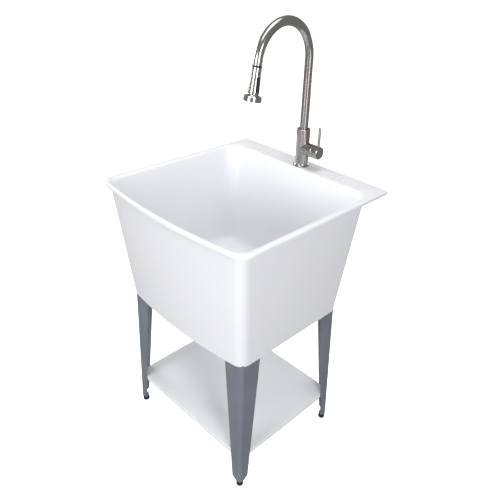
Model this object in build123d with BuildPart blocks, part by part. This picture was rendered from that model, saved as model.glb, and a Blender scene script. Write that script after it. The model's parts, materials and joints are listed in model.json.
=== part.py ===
# Free-standing utility laundry sink: moulded tub on four splayed steel legs,
# with a lower shelf, levelling feet, a strainer drain and a pull-down mixer tap.
# Millimetres, +Z up, +X right, -Y front; the origin is on the floor under the
# middle of the plan.
from build123d import *
from math import atan, cos, radians, sin, sqrt, tan
import os

os.makedirs("parts", exist_ok=True)

# ---- tub -------------------------------------------------------------------
rim_height = 860.0
rim_width = 580.0
deck_back = 293.5
rim_corner_front = -267.5
rim_bow = 26.0
rim_depth = 14.0
rim_front_radius = 40.0
rim_back_radius = 7.0
rim_round = 5.0
rim_under_round = 3.0
rim_lip_wall = 4.0
tub_depth = 375.0
tub_wall = 3.4
bowl_wall = 5.0
body_top_back = 220.0
body_bottom_inset = 38.2
body_top_inset = 15.5
body_bottom_front = -251.0
body_top_front = -282.5
body_bottom_back = 176.0
body_bow_radius = 1550.0
body_corner = 32.0
bowl_corner = 40.0
bowl_outer_corner = 36.0
bowl_depth = 329.0
floor_fillet = 34.0
floor_chamfer = 20.0
bowl_lip_round = 10.0
deck_plate = 5.0

# ---- drainage grooves across the deck --------------------------------------
groove_count = 6
groove_first = 103.0
groove_pitch = 21.0
groove_radius = 5.0
groove_depth = 2.0
groove_length = 46.0
groove_run_in = 14.0

# ---- under the deck ---------------------------------------------------------
rib_thickness = 3.0
rib_depth = 9.0
rib_places = (-230.0, -150.0, -75.0, 75.0, 150.0, 230.0)
tap_pad_width = 84.0
tap_pad_depth = 3.0

# ---- legs -------------------------------------------------------------------
leg_gauge = 2.0
leg_inset_side = 3.82
leg_inset_front = 23.72
leg_inset_back = 7.32
leg_splay = 0.032
leg_bottom = 22.0
leg_insertion = 32.0
leg_width_bottom = 32.5
leg_width_top = 87.0
leg_radius = 12.0
leg_clip_flat = 12.0
leg_clip_rise = 11.0
leg_cut_depth = 6.0
leg_fit = 0.25
socket_wall = 4.0
socket_reach = 24.0
foot_inset = 12.0
tab_radius = 10.0
tab_root = 0.8
tab_clear = 0.2
leg_screw_rise = 18.0
drill_past = 1.0
leg_screw_place = 46.0

# ---- shelf ------------------------------------------------------------------
shelf_top = 138.0
shelf_flange = 14.0
shelf_plate = 3.0
shelf_flange_wall = 2.4
shelf_notch_gap = 5.0
shelf_fit = 0.1
shelf_screw_height = 131.0
shelf_screw_place = 35.5
shelf_edge_round = 1.5
shelf_rib = 2.4
shelf_rib_count = 3
shelf_rib_pitch = 130.0
shelf_rib_rise = 3.0
shelf_rib_clear = 4.0
shelf_screw_reach = 8.0

# ---- fasteners --------------------------------------------------------------
screw_clear = 0.05
leg_screw_radius = 2.4
leg_screw_head = 4.4
leg_screw_head_depth = 2.6
leg_screw_bite = 3.6
shelf_screw_radius = 1.9
shelf_screw_head = 3.4
shelf_screw_head_depth = 2.2
screw_head_taper = 18.0

# ---- levelling feet ---------------------------------------------------------
pad_radius = 10.8
pad_height = 13.0
pad_round = 3.0
stem_radius = 4.0
stem_clear = 0.06
stem_head_radius = 6.5
stem_head_depth = 5.0
stem_top = 46.0
stem_collar = 1.0
stem_tip = 0.8
pad_wall = 3.0
pad_edge = 1.0
nut_flats = 13.0
nut_depth = 6.5

# ---- drain ------------------------------------------------------------------
drain_y = -27.0
seat_radius = 43.0
seat_depth = 2.8
seat_boss = 6.0
strainer_flange = 42.0
strainer_flange_depth = 2.6
strainer_thread = 24.0
strainer_bore = 19.4
strainer_dish = 28.0
strainer_length = 46.0
strainer_clear = 0.3
strainer_dish_depth = 3.0
strainer_bar = 2.6
strainer_bar_rise = 6.0
strainer_bar_sink = 0.5
strainer_bevel = 1.0
drain_gasket_depth = 3.0
drain_gasket_inset = 6.0
drain_washer_depth = 1.2
drain_washer_inset = 7.0
locknut_depth = 12.0
locknut_flats = 64.0
locknut_sides = 8
tail_radius = 19.05
tail_wall = 1.3
tail_length = 102.0
tail_flange = 22.5
tail_flange_depth = 1.6
tail_washer_depth = 2.0
tail_pass = 0.8
coupling_depth = 14.0
coupling_radius = 27.5
coupling_shoulder = 2.4
coupling_lugs = 6
coupling_lug = 3.0
coupling_lug_stop = 1.0
basket_rim = 26.5
basket_radius = 17.0
basket_depth = 17.0
basket_wall = 1.2
basket_holes = 6
basket_hole_radius = 2.6
basket_gap = 0.3
basket_edge = 1.0
basket_knob_stem = 2.6
basket_knob = 6.0
basket_knob_step = 1.0
basket_knob_height = 4.0

# ---- tap: body and mounting -------------------------------------------------
tap_setback = 45.9
deck_hole = 17.5
gasket_depth = 1.0
gasket_radius = 22.5
ring_radius = 24.6
ring_height = 6.0
ring_edge = 1.2
ring_waist = 1.6
ring_waist_rise = 3.4
ring_lap = 0.3
body_radius = 20.0
body_reach = 58.0
body_edge = 0.8
body_bore = 11.0
collar_radius = 15.0
collar_depth = 35.0
branch_rise = 55.0
branch_radius = 19.0
branch_end = 45.0
branch_bore = 17.1
branch_start = 13.0
branch_chamfer = 0.8
shank_radius = 14.0
shank_wall = 3.0
shank_drop = 70.0
shank_grip = 10.0
shank_clear = 0.05
seal_radius = 26.5
seal_depth = 3.0
plate_depth = 2.0
nut_radius = 23.0
jam_nut_depth = 11.0
jam_screw_radius = 2.5
jam_screw_circle = 18.5
jam_screw_length = 24.0
jam_screw_head = 4.2
jam_screw_head_depth = 3.0
jam_gap = 5.0

# ---- tap: spout -------------------------------------------------------------
spout_radius = 12.3
spout_wall = 1.4
spout_seat = 4.0
spout_straight = 226.0
arch_radius = 100.8
arch_turn = 170.0
spout_tail = 13.0
bushing_drop = 4.0
bushing_clear = 0.05
bushing_lift = 0.3
ring_section = 1.1
ring_rises = (8.0, 19.0)
ring_groove_past = 1.0
dock_length = 4.0
dock_spigot = 14.0
dock_bore = 8.6
dock_radius = 12.9

# ---- tap: pull-down spray head ----------------------------------------------
head_gap = 0.3
head_length = 84.0
head_top_radius = 13.0
head_waist_radius = 15.0
head_end_radius = 22.8
nozzle_radius = 23.8
nozzle_height = 13.0
nozzle_bevel = 0.8
nozzle_lip = 1.2
head_grip = 20.0
head_waist = 62.0
skin_edge = 0.8
flare_bulge = 1.6
flare_lip = 1.0
connector_radius = 8.4
connector_length = 32.0
connector_rise = 17.0
connector_clear = 0.05
connector_bore = 5.0
face_radius = 20.6
face_depth = 3.0
face_setback = 1.0
nozzle_count = 12
nozzle_bore = 0.9
aerator_radius = 10.5
aerator_wall = 1.6
aerator_web = 1.0
rocker_start = 25.0
rocker_length = 34.0
rocker_width = 11.0
pocket_floor = 9.9
rocker_low = 11.9
rocker_pivot = 11.5
bezel_proud = 0.3
bezel_corner = 1.5
rocker_gap = 0.35
rocker_proud = 1.0
bezel_wall = 1.4
pivot_radius = 1.0
pivot_clear = 0.04

# ---- tap: mixer valve and handle --------------------------------------------
cartridge_radius = 17.0
cartridge_nut_depth = 5.0
cartridge_nut_lip = 1.0
carrier_radius = 11.0
carrier_clear = 0.05
carrier_inset = 12.0
carrier_reach = 7.0
carrier_gap = 0.3
pivot_inset = 1.0
dome_radius = 17.5
dome_wall = 2.0
dome_opening = 11.0
hub_radius = 19.0
hub_length = 23.0
hub_cavity = 18.1
hub_gap_top = 1.8
hub_gap_bottom = 8.5
hub_trim = 1.0
hub_edge = 1.2
valve_stem_radius = 4.0
valve_stem_inset = 6.5
valve_stem_reach = 20.5
valve_slot = 8.8
pin_radius = 2.0
pin_length = 20.0
pin_clear = 0.04
lever_radius = 4.0
lever_place = 16.0
lever_seat = 12.0
lever_length = 62.0
lever_tip = 1.0
set_screw_radius = 2.0
set_screw_length = 8.0
set_screw_offset = 2.0

# ---- places that follow from the sizes ----------------------------------------
rim_bottom = rim_height - rim_depth
tub_bottom = rim_height - tub_depth
floor_height = rim_height - bowl_depth
body_bottom_width = rim_width - 2 * body_bottom_inset
body_top_width = rim_width - 2 * body_top_inset
leg_top = tub_bottom + leg_insertion
leg_screw_height = tub_bottom + leg_screw_rise
tap_y = deck_back - tap_setback
branch_height = rim_height + branch_rise
body_top = branch_height + body_reach
collar_floor = body_top - collar_depth
shank_bottom = rim_height - shank_drop
spout_foot = collar_floor + spout_seat
arch_height = spout_foot + spout_straight
bushing_top = body_top - bushing_drop
ring_heights = [spout_foot + rise for rise in ring_rises]
cartridge_end = branch_end - cartridge_nut_depth
carrier_start = branch_end - carrier_inset
carrier_end = branch_end + carrier_reach
pivot_x = branch_end - pivot_inset
hub_end = branch_end + hub_length
hub_cut_top = branch_end + hub_gap_top
hub_cut_bottom = branch_end + hub_gap_bottom
valve_stem_start = branch_end - valve_stem_inset
valve_stem_end = branch_end + valve_stem_reach
lever_x = branch_end + lever_place
lever_foot = branch_height + lever_seat
lever_top = lever_foot + lever_length


def finish(piece, name):
    piece.part.label = name
    export_step(piece.part, f"parts/{name}.step")


# A plan outline with straight sides and back and a front that bows forward.
def bowed_outline(height, half_width, front, back, bow, front_round, back_round):
    with BuildSketch(Plane.XY.offset(height)) as outline:
        with BuildLine():
            Polyline((half_width, front), (half_width, back), (-half_width, back), (-half_width, front))
            ThreePointArc((-half_width, front), (0, front - bow), (half_width, front))
        make_face()
        fillet(outline.vertices().group_by(Axis.Y)[-1], back_round)
        fillet(outline.vertices().group_by(Axis.Y)[0], front_round)
    return outline.sketch


# The rim's outline, drawn in by an inset on every side.
def rim_outline(height, inset):
    return bowed_outline(
        height, rim_width / 2 - inset, rim_corner_front + inset, deck_back - inset, rim_bow,
        rim_front_radius - inset, rim_back_radius - inset,
    )


# The moulded body between two heights: flat leaning sides and back, and a front
# that is part of a wide cone, all drawn in by an inset, with rounded uprights.
def tapered_body(low, high, inset, corner):
    sides = []
    backs = []
    bows = []
    for height in (low, high):
        share = (height - tub_bottom) / (rim_bottom - tub_bottom)
        sides.append((body_bottom_width + share * (body_top_width - body_bottom_width)) / 2 - inset)
        backs.append(body_bottom_back + share * (body_top_back - body_bottom_back) - inset)
        bows.append(body_bow_radius + share * (body_bottom_front - body_top_front) - inset)
    bow_centre = body_bottom_front + body_bow_radius
    with BuildPart() as body:
        with BuildSketch(Plane.YZ):
            with BuildLine():
                Polyline(
                    (bow_centre, low), (bow_centre + bows[0], low), (bow_centre + bows[1], high),
                    (bow_centre, high), close=True,
                )
            make_face()
        revolve(axis=Axis((0, bow_centre, 0), (0, 0, 1)))
        with BuildSketch(Plane.XZ.offset(-rim_width)):
            with BuildLine():
                Polyline((sides[0], low), (sides[1], high), (-sides[1], high), (-sides[0], low), close=True)
            make_face()
        extrude(amount=2 * rim_width, mode=Mode.INTERSECT)
        with BuildSketch(Plane.YZ.offset(-rim_width)):
            with BuildLine():
                Polyline((-rim_width, low), (backs[0], low), (backs[1], high), (-rim_width, high), close=True)
            make_face()
        extrude(amount=2 * rim_width, mode=Mode.INTERSECT)
        uprights = body.edges().filter_by(lambda edge: edge.bounding_box().size.Z > 0.9 * (high - low))
        fillet(uprights, corner)
    return body


# Outer corner of a leg at a height; side is +1 right, end is -1 front.
def leg_corner(height, side, end):
    spread = leg_splay * (tub_bottom - height)
    across = body_bottom_width / 2 - leg_inset_side
    along = body_bottom_back - leg_inset_back if end > 0 else -body_bottom_front - leg_inset_front
    return Vector(side * (across + spread), end * (along + spread), height)


def leg_width(height):
    share = (height - leg_bottom) / (leg_top - leg_bottom)
    return leg_width_bottom + share * (leg_width_top - leg_width_bottom)


# Angle blank of full width along a leg, thickened by grow on all its faces.
def leg_blank(low, high, side, end, grow=0.0):
    corner = leg_corner(low, side, end)
    width = leg_width_top + grow
    gauge = leg_gauge + grow
    with BuildPart() as blank:
        with BuildSketch(Plane.XY.offset(low)) as section:
            with BuildLine():
                Polyline(
                    (corner.X + side * grow, corner.Y + end * grow),
                    (corner.X - side * width, corner.Y + end * grow),
                    (corner.X - side * width, corner.Y - end * gauge),
                    (corner.X - side * gauge, corner.Y - end * gauge),
                    (corner.X - side * gauge, corner.Y - end * width),
                    (corner.X + side * grow, corner.Y - end * width),
                    close=True,
                )
            make_face()
            near = section.vertices().sort_by_distance(corner)
            fillet(near[0], leg_radius + grow)
            inner = section.vertices().sort_by_distance(corner - Vector(side * gauge, end * gauge, 0))
            fillet(inner[0], leg_radius - leg_gauge - grow)
        along = Vector(-side * leg_splay, -end * leg_splay, 1)
        extrude(amount=(high - low) * along.length, dir=along)
    return blank.part


# Angle-shaped block of a leg pocket, reaching out past the moulded skirt.
def socket_section(height, side, end):
    corner = leg_corner(height, side, end)
    reach = leg_width(height) + socket_wall
    depth = leg_gauge + leg_fit + socket_wall
    with BuildSketch(Plane.XY.offset(height)) as section:
        with BuildLine():
            Polyline(
                (corner.X + side * socket_reach, corner.Y + end * socket_reach),
                (corner.X - side * reach, corner.Y + end * socket_reach),
                (corner.X - side * reach, corner.Y - end * depth),
                (corner.X - side * depth, corner.Y - end * depth),
                (corner.X - side * depth, corner.Y - end * reach),
                (corner.X + side * socket_reach, corner.Y - end * reach),
                close=True,
            )
        make_face()
    return section.sketch


# Plane on a leg's outer face, normal outward: flange "side" faces X, "end" faces Y.
def leg_face(height, side, end, flange, place):
    corner = leg_corner(height, side, end)
    if flange == "side":
        return Plane(corner - Vector(0, end * place, 0), x_dir=(0, side, 0), z_dir=(side, 0, leg_splay))
    return Plane(corner - Vector(side * place, 0, 0), x_dir=(-end, 0, 0), z_dir=(0, end, leg_splay))


legs = [
    ("leg_front_left", -1, -1),
    ("leg_front_right", 1, -1),
    ("leg_back_left", -1, 1),
    ("leg_back_right", 1, 1),
]
flanges = ("side", "end")
feet = []
for leg_name, side, end in legs:
    corner = leg_corner(leg_bottom, side, end)
    feet.append(Vector(corner.X - side * foot_inset, corner.Y - end * foot_inset, 0))

# ---- tub: rim and deck, tapered body, bowl, leg sockets ----------------------
deck_under = rim_height - deck_plate
floor_under = floor_height - bowl_wall
socket_depth = leg_gauge + leg_fit + socket_wall
socket_top = leg_top + leg_fit + socket_wall
deck_width = deck_back - body_top_back + bowl_wall

bowl_outside = tapered_body(floor_under, rim_height, 0.0, bowl_outer_corner)
with bowl_outside:
    chamfer(bowl_outside.faces().sort_by(Axis.Z)[0].edges(), floor_chamfer)

under_hollow = tapered_body(tub_bottom, floor_under + 2 * floor_chamfer, tub_wall, body_corner - tub_wall)
with under_hollow:
    add(bowl_outside.part, mode=Mode.SUBTRACT)

bowl_space = tapered_body(floor_height, rim_height, bowl_wall, bowl_corner)
with bowl_space:
    fillet(bowl_space.faces().sort_by(Axis.Z)[0].edges(), floor_fillet)

body_outside = tapered_body(tub_bottom, deck_under, 0.0, body_corner)

# Moulded pockets that grip the leg tops: blocks in the four corners of the skirt.
with BuildPart() as sockets:
    for leg_name, side, end in legs:
        loft(sections=[socket_section(tub_bottom, side, end), socket_section(socket_top, side, end)])
    add(body_outside.part, mode=Mode.INTERSECT)

with BuildPart() as leg_slots:
    for leg_name, side, end in legs:
        add(leg_blank(tub_bottom - leg_fit, leg_top + leg_fit, side, end, leg_fit))

# Turned-down rim and deck: a rounded slab, hollowed from below round the body.
with BuildPart() as rim:
    extrude(rim_outline(rim_bottom, 0.0), amount=rim_depth)
    fillet(rim.faces().sort_by(Axis.Z)[-1].edges(), rim_round)
    fillet(rim.faces().sort_by(Axis.Z)[0].edges(), rim_under_round)

with BuildPart() as rim_hollow:
    extrude(rim_outline(rim_bottom, rim_lip_wall), amount=rim_depth - deck_plate)
    add(body_outside.part, mode=Mode.SUBTRACT)
    with BuildSketch(Plane.XY.offset(rim_bottom)):
        with Locations(*[(x, deck_back - deck_width / 2) for x in rib_places]):
            Rectangle(rib_thickness, deck_width)
    extrude(amount=rim_depth - deck_plate, mode=Mode.SUBTRACT)
    with BuildSketch(Plane.XY.offset(deck_under - tap_pad_depth)):
        with Locations((0, deck_back - deck_width / 2)):
            Rectangle(tap_pad_width, deck_width)
    extrude(amount=tap_pad_depth, mode=Mode.SUBTRACT)

groove_tilt = atan(groove_depth / groove_length)
groove_places = [groove_first + groove_pitch * step for step in range(groove_count)]

with BuildPart() as tub:
    add(body_outside.part)
    add(under_hollow.part, mode=Mode.SUBTRACT)
    add(sockets.part)
    add(rim.part)
    add(rim_hollow.part, mode=Mode.SUBTRACT)
    add(bowl_space.part, mode=Mode.SUBTRACT)
    fillet(tub.faces().sort_by(Axis.Z)[-1].inner_wires()[0].edges(), bowl_lip_round)
    # drainage grooves, deepest at the bowl and running out on the deck
    for place in groove_places:
        for x in (-place, place):
            rise = groove_radius - groove_depth
            start = (x, body_top_back - groove_run_in, rim_height + rise - groove_run_in * sin(groove_tilt))
            with BuildSketch(Plane(start, x_dir=(1, 0, 0), z_dir=(0, cos(groove_tilt), sin(groove_tilt)))):
                Circle(groove_radius)
            extrude(amount=groove_length + groove_run_in, mode=Mode.SUBTRACT)
    # seat and hole of the drain, with a boss under the floor
    with BuildSketch(Plane.XY.offset(floor_under - seat_boss)):
        with Locations((0, drain_y)):
            Circle(seat_radius)
    extrude(amount=seat_boss + bowl_wall)
    with BuildSketch(Plane.XY.offset(floor_height - seat_depth)):
        with Locations((0, drain_y)):
            Circle(seat_radius)
    extrude(amount=seat_depth, mode=Mode.SUBTRACT)
    with BuildSketch(Plane.XY.offset(floor_under - seat_boss)):
        with Locations((0, drain_y)):
            Circle(strainer_thread + strainer_clear)
    extrude(amount=seat_boss + bowl_wall, mode=Mode.SUBTRACT)
    # tap hole through the deck
    with BuildSketch(Plane.XY.offset(rim_bottom)):
        with Locations((0, tap_y)):
            Circle(deck_hole)
    extrude(amount=rim_depth, mode=Mode.SUBTRACT)
    # leg slots and their screw bores
    add(leg_slots.part, mode=Mode.SUBTRACT)
    for leg_name, side, end in legs:
        for flange in flanges:
            face = leg_face(leg_screw_height, side, end, flange, leg_screw_place)
            with BuildSketch(face.offset(-socket_depth)):
                Circle(leg_screw_radius + screw_clear)
            extrude(amount=socket_depth + leg_screw_bite + screw_clear, mode=Mode.SUBTRACT)
finish(tub, "tub")

# ---- legs: tapered steel angles with a bolt tab at the foot -------------------
clip_height = leg_bottom + leg_clip_rise
for (leg_name, side, end), foot in zip(legs, feet):
    with BuildPart() as leg:
        add(leg_blank(leg_bottom, leg_top, side, end))
        # the free edges taper towards the foot, where their corners are clipped
        for flange in flanges:
            inward = side * end if flange == "end" else -side * end
            face = leg_face(leg_bottom, side, end, flange, 0)
            slant = sqrt(1 + leg_splay**2)
            with BuildSketch(face.offset(leg_gauge)):
                with BuildLine():
                    Polyline(
                        (inward * leg_clip_flat, 0),
                        (inward * leg_width(clip_height), leg_clip_rise * slant),
                        (inward * leg_width_top, (leg_top - leg_bottom) * slant),
                        (inward * 2 * leg_width_top, (leg_top - leg_bottom) * slant),
                        (inward * 2 * leg_width_top, -leg_gauge), (inward * leg_clip_flat, -leg_gauge), close=True,
                    )
                make_face()
            extrude(amount=-leg_cut_depth, mode=Mode.SUBTRACT)
        # round tab that carries the levelling bolt
        with BuildSketch(Plane.XY.offset(leg_bottom)):
            with Locations((foot.X, foot.Y)):
                Circle(tab_radius)
            with Locations((foot.X + side * tab_radius / 2, foot.Y)):
                Rectangle(tab_radius, 2 * tab_radius * tab_root)
        extrude(amount=leg_gauge)
        with BuildSketch(Plane.XY.offset(leg_bottom)):
            with Locations((foot.X, foot.Y)):
                Circle(stem_radius + tab_clear)
        extrude(amount=leg_gauge, mode=Mode.SUBTRACT)
        for flange in flanges:
            for height, place, radius in (
                (leg_screw_height, leg_screw_place, leg_screw_radius),
                (shelf_screw_height, shelf_screw_place, shelf_screw_radius),
            ):
                with BuildSketch(leg_face(height, side, end, flange, place).offset(drill_past)):
                    Circle(radius + screw_clear)
                extrude(amount=-leg_gauge - 2 * drill_past, mode=Mode.SUBTRACT)
    finish(leg, leg_name)

# Pan-head screws that hold the leg tops, driven outwards from inside the pockets.
with BuildPart() as leg_screws:
    for leg_name, side, end in legs:
        for flange in flanges:
            face = leg_face(leg_screw_height, side, end, flange, leg_screw_place).offset(-socket_depth)
            with BuildSketch(face):
                Circle(leg_screw_radius)
            extrude(amount=socket_depth + leg_screw_bite)
            with BuildSketch(face):
                Circle(leg_screw_head)
            extrude(amount=-leg_screw_head_depth, taper=screw_head_taper)
finish(leg_screws, "leg_screws")

# ---- shelf: flat tray with a turned-down flange, corners nested in the legs ---
shelf_bottom = shelf_top - shelf_flange
shelf_middle = shelf_top - shelf_flange / 2
shelf_notch = leg_width(shelf_top) + shelf_notch_gap
shelf_front = leg_corner(0, 1, -1).Y
shelf_back = leg_corner(0, 1, 1).Y


def shelf_outline(height, inset):
    points = []
    for side, end in ((1, -1), (1, 1), (-1, 1), (-1, -1)):
        edge = leg_corner(shelf_middle, side, end)
        tight = leg_corner(shelf_top, side, end)
        nest = leg_gauge * sqrt(1 + leg_splay**2) + shelf_fit + inset
        notch = shelf_notch + inset
        along = [
            (edge.X - side * inset, edge.Y - end * notch),
            (tight.X - side * nest, edge.Y - end * notch),
            (tight.X - side * nest, tight.Y - end * nest),
            (edge.X - side * notch, tight.Y - end * nest),
            (edge.X - side * notch, edge.Y - end * inset),
        ]
        points += along if side * end > 0 else along[::-1]
    with BuildSketch(Plane.XY.offset(height)) as outline:
        with BuildLine():
            Polyline(*points, close=True)
        make_face()
        for side, end in ((1, -1), (1, 1), (-1, 1), (-1, -1)):
            tight = leg_corner(shelf_top, side, end)
            nook = outline.vertices().sort_by_distance((tight.X, tight.Y, height))[0]
            fillet(nook, leg_radius - leg_gauge - inset / 2)
    return outline.sketch


with BuildPart() as shelf:
    extrude(shelf_outline(shelf_bottom, 0), amount=shelf_flange)
    fillet(shelf.faces().sort_by(Axis.Z)[-1].edges(), shelf_edge_round)
    extrude(shelf_outline(shelf_bottom, shelf_flange_wall), amount=shelf_flange - shelf_plate, mode=Mode.SUBTRACT)
    with BuildSketch(Plane.XY.offset(shelf_bottom + shelf_rib_rise)):
        with Locations((0, (shelf_front + shelf_back) / 2)):
            with GridLocations(shelf_rib_pitch, 0, shelf_rib_count, 1):
                Rectangle(shelf_rib, shelf_back - shelf_front - 2 * shelf_rib_clear)
    extrude(amount=shelf_flange - shelf_plate - shelf_rib_rise)
    for leg_name, side, end in legs:
        for flange in flanges:
            with BuildSketch(leg_face(shelf_screw_height, side, end, flange, shelf_screw_place)):
                Circle(shelf_screw_radius + screw_clear)
            extrude(amount=-shelf_screw_reach, mode=Mode.SUBTRACT)
finish(shelf, "shelf")

with BuildPart() as shelf_screws:
    for leg_name, side, end in legs:
        for flange in flanges:
            face = leg_face(shelf_screw_height, side, end, flange, shelf_screw_place)
            with BuildSketch(face):
                Circle(shelf_screw_radius)
            extrude(amount=-shelf_screw_reach)
            with BuildSketch(face):
                Circle(shelf_screw_head)
            extrude(amount=shelf_screw_head_depth, taper=screw_head_taper)
finish(shelf_screws, "shelf_screws")

# ---- levelling feet -----------------------------------------------------------
with BuildPart() as leveler_nuts:
    for foot in feet:
        with BuildSketch(Plane.XY.offset(leg_bottom + leg_gauge)):
            with Locations((foot.X, foot.Y)):
                RegularPolygon(nut_flats / 2, 6, major_radius=False)
                Circle(stem_radius + stem_clear, mode=Mode.SUBTRACT)
        extrude(amount=nut_depth)
finish(leveler_nuts, "leveler_nuts")

for (leg_name, side, end), foot in zip(legs, feet):
    place = leg_name.removeprefix("leg_")
    with BuildPart() as pad:
        with BuildSketch(Plane.XZ.offset(-foot.Y)):
            with BuildLine():
                Polyline(
                    (foot.X, 0), (foot.X + pad_radius - pad_round, 0), (foot.X + pad_radius, pad_round),
                    (foot.X + pad_radius, pad_height - pad_edge), (foot.X + pad_radius - pad_edge, pad_height),
                    (foot.X + stem_head_radius + stem_clear, pad_height),
                    (foot.X + stem_head_radius + stem_clear, pad_wall),
                    (foot.X, pad_wall), close=True,
                )
            make_face()
        revolve(axis=Axis((foot.X, foot.Y, 0), (0, 0, 1)))
    finish(pad, f"leveler_pad_{place}")
    with BuildPart() as stem:
        with BuildSketch(Plane.XY.offset(pad_wall)):
            with Locations((foot.X, foot.Y)):
                Circle(stem_head_radius)
        extrude(amount=pad_height - pad_wall + stem_collar)
        with BuildSketch(Plane.XY.offset(pad_wall)):
            with Locations((foot.X, foot.Y)):
                Circle(stem_radius)
        extrude(amount=stem_top - pad_wall)
        chamfer(stem.faces().sort_by(Axis.Z)[-1].edges(), stem_tip)
    finish(stem, f"leveler_stem_{place}")

# ---- drain: strainer body through the floor, clamped from below -----------------
drain_axis = Axis((0, drain_y, 0), (0, 0, 1))
drain_plane = Plane((0, drain_y, 0), x_dir=(1, 0, 0), z_dir=(0, -1, 0))
seat_top = floor_height - seat_depth
flange_top = seat_top + strainer_flange_depth
boss_under = floor_under - seat_boss
strainer_end = flange_top - strainer_length


def revolve_profile(points, plane, axis):
    with BuildPart() as turned:
        with BuildSketch(plane):
            with BuildLine():
                Polyline(*points, close=True)
            make_face()
        revolve(axis=axis)
    return turned.part


def drain_ring(inner, outer, low, high):
    return revolve_profile(((inner, low), (outer, low), (outer, high), (inner, high)), drain_plane, drain_axis)


with BuildPart() as drain_body:
    with BuildSketch(drain_plane):
        with BuildLine():
            Polyline(
                (strainer_bore, strainer_end), (strainer_thread, strainer_end),
                (strainer_thread, seat_top), (strainer_flange, seat_top),
                (strainer_flange - strainer_bevel, flange_top), (strainer_dish, flange_top),
                (strainer_bore, flange_top - strainer_dish_depth), close=True,
            )
        make_face()
    revolve(axis=drain_axis)
    with BuildSketch(Plane.XY.offset(strainer_end + strainer_bar_rise)):
        with Locations((0, drain_y)):
            Rectangle(2 * (strainer_bore + strainer_bar_sink), strainer_bar)
            Rectangle(strainer_bar, 2 * (strainer_bore + strainer_bar_sink))
    extrude(amount=strainer_bar)
finish(drain_body, "drain_body")

gasket_low = boss_under - drain_gasket_depth
washer_low = gasket_low - drain_washer_depth
with BuildPart() as drain_gasket:
    add(drain_ring(strainer_thread + strainer_clear, seat_radius - drain_gasket_inset, gasket_low, boss_under))
finish(drain_gasket, "drain_gasket")

with BuildPart() as drain_washer:
    add(drain_ring(strainer_thread + strainer_clear, seat_radius - drain_washer_inset, washer_low, gasket_low))
finish(drain_washer, "drain_washer")

with BuildPart() as drain_locknut:
    with BuildSketch(Plane.XY.offset(washer_low - locknut_depth)):
        with Locations((0, drain_y)):
            RegularPolygon(locknut_flats / 2, locknut_sides, major_radius=False)
            Circle(strainer_thread + screw_clear, mode=Mode.SUBTRACT)
    extrude(amount=locknut_depth)
finish(drain_locknut, "drain_locknut")

tail_top = strainer_end - tail_washer_depth
with BuildPart() as tailpiece_washer:
    add(drain_ring(tail_radius - tail_wall, tail_flange, tail_top, strainer_end))
finish(tailpiece_washer, "tailpiece_washer")

with BuildPart() as tailpiece:
    add(drain_ring(tail_radius - tail_wall, tail_radius, tail_top - tail_length, tail_top))
    add(drain_ring(tail_radius - tail_wall, tail_flange, tail_top - tail_flange_depth, tail_top))
finish(tailpiece, "tailpiece")

coupling_low = tail_top - tail_flange_depth - coupling_shoulder
with BuildPart() as coupling_nut:
    with BuildSketch(drain_plane):
        with BuildLine():
            Polyline(
                (tail_radius + tail_pass, coupling_low), (coupling_radius, coupling_low),
                (coupling_radius, coupling_low + coupling_depth),
                (strainer_thread + screw_clear, coupling_low + coupling_depth),
                (strainer_thread + screw_clear, coupling_low + coupling_shoulder),
                (tail_radius + tail_pass, coupling_low + coupling_shoulder), close=True,
            )
        make_face()
    revolve(axis=drain_axis)
    with BuildSketch(Plane.XY.offset(coupling_low)):
        with Locations((0, drain_y)):
            with PolarLocations(coupling_radius, coupling_lugs):
                Rectangle(coupling_lug, 2 * coupling_lug)
    extrude(amount=coupling_depth - coupling_lug_stop)
finish(coupling_nut, "coupling_nut")

# Lift-out basket resting in the dish of the strainer body.
basket_slope = strainer_dish_depth / (strainer_dish - strainer_bore)
basket_top = flange_top - (strainer_dish - basket_rim) * basket_slope + basket_gap
basket_neck = basket_top - (basket_rim - basket_radius) * basket_slope
basket_low = basket_neck - basket_depth
with BuildPart() as drain_basket:
    with BuildSketch(drain_plane):
        with BuildLine():
            Polyline(
                (0, basket_low), (basket_radius - basket_edge, basket_low),
                (basket_radius, basket_low + basket_edge),
                (basket_radius, basket_neck), (basket_rim, basket_top), (basket_rim, basket_top + basket_wall),
                (basket_radius - basket_wall, basket_neck + basket_wall),
                (basket_radius - basket_wall, basket_low + basket_wall), (basket_knob_stem, basket_low + basket_wall),
                (basket_knob_stem, basket_top - basket_knob_step), (basket_knob, basket_top + basket_knob_step),
                (basket_knob, basket_top + basket_knob_height - basket_knob_step),
                (0, basket_top + basket_knob_height), close=True,
            )
        make_face()
    revolve(axis=drain_axis)
    with BuildSketch(Plane.XY.offset(basket_low)):
        with Locations((0, drain_y)):
            with PolarLocations((basket_knob_stem + basket_radius) / 2, basket_holes):
                Circle(basket_hole_radius)
    extrude(amount=basket_wall, mode=Mode.SUBTRACT)
finish(drain_basket, "drain_basket")

# ---- tap: mounting --------------------------------------------------------------
tap_axis = Axis((0, tap_y, 0), (0, 0, 1))
tap_plane = Plane((0, tap_y, 0), x_dir=(1, 0, 0), z_dir=(0, -1, 0))
branch_axis = Axis((0, tap_y, branch_height), (1, 0, 0))
body_low = rim_height + gasket_depth + ring_height
pad_under = deck_under - tap_pad_depth


def tap_ring(inner, outer, low, high):
    return revolve_profile(((inner, low), (outer, low), (outer, high), (inner, high)), tap_plane, tap_axis)


with BuildPart() as base_gasket:
    add(tap_ring(shank_radius + strainer_clear, gasket_radius, rim_height, rim_height + gasket_depth))
finish(base_gasket, "base_gasket")

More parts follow.
